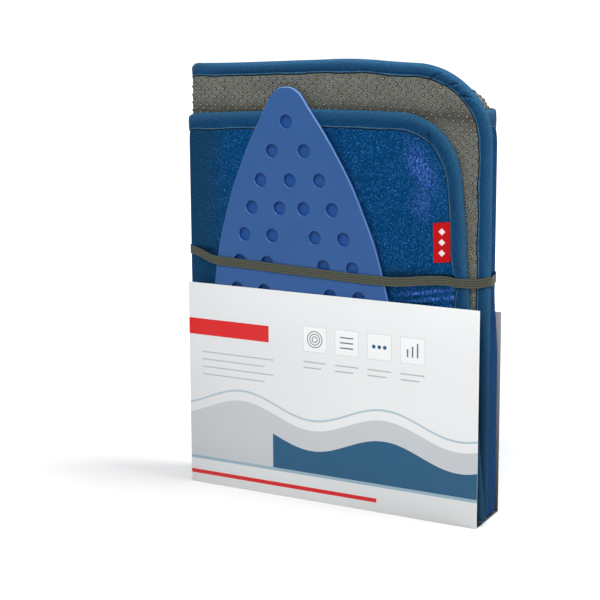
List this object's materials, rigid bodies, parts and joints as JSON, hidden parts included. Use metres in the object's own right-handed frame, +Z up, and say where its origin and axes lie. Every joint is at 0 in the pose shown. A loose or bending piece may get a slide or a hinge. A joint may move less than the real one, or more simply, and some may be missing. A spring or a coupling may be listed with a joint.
{
  "type": "folding ironing mat",
  "caption": "Padded table-top ironing mat folded upright in a U-shaped card wrap, with a dimpled silicone iron rest held on its front by an elastic band.",
  "frame": {"origin": "middle of the underside of the whole part's bounding box, on the surface that the card wrap stands on", "axes": "+Z up along the height, -Y the front with the iron rest, +X to the right seen from the front"},
  "size_m": [0.2504, 0.0434, 0.34],
  "materials": {
    "cover": "blue metallised woven cloth with a fine glitter",
    "foil": "thin matt aluminium film",
    "felt": "needled felt",
    "base": "grey-brown felt-like cloth with small raised shiny dots",
    "binding": "blue woven bias tape, stitched",
    "label": "red woven ribbon",
    "silicone": "periwinkle-blue satin silicone",
    "elastic": "olive-grey ribbed elastic",
    "card": "white coated card with a printed front"
  },
  "bodies": {
    "card_base": {"card_bottom_panel": "card"},
    "card_front": {"card_front_panel": "card"},
    "card_back": {"card_back_panel": "card"},
    "mat": {"top_cover": "cover", "reflective_layer": "foil", "felt_upper": "felt", "felt_lower": "felt", "non_slip_base": "base", "edge_binding": "binding"},
    "label": {"sewn_label": "label"},
    "rest": {"iron_rest": "silicone"},
    "band": {"elastic_band": "elastic"}
  },
  "joints": [
    {"name": "front_crease", "type": "hinge", "parent": "card_base", "child": "card_front", "pos_m": [0, -0.02172, 0], "axis": [1, 0, 0], "range_deg": [0, 90]},
    {"name": "back_crease", "type": "hinge", "parent": "card_base", "child": "card_back", "pos_m": [0, 0.02172, 0], "axis": [-1, 0, 0], "range_deg": [0, 90]},
    {"name": "mat_lift", "type": "slide", "parent": "card_base", "child": "mat", "axis": [0, 0, 1], "range_m": [0, 0.16]},
    {"name": "rest_slide", "type": "slide", "parent": "mat", "child": "rest", "axis": [0, 0, 1], "range_m": [-0.07, 0.095]},
    {"name": "band_slide", "type": "slide", "parent": "mat", "child": "band", "axis": [0, 0, 1], "range_m": [-0.01, 0.165]},
    {"name": "label_flip", "type": "hinge", "parent": "mat", "child": "label", "pos_m": [0.0945, -0.0175, 0.208], "axis": [0, 0, 1], "range_deg": [0, 150]}
  ]
}
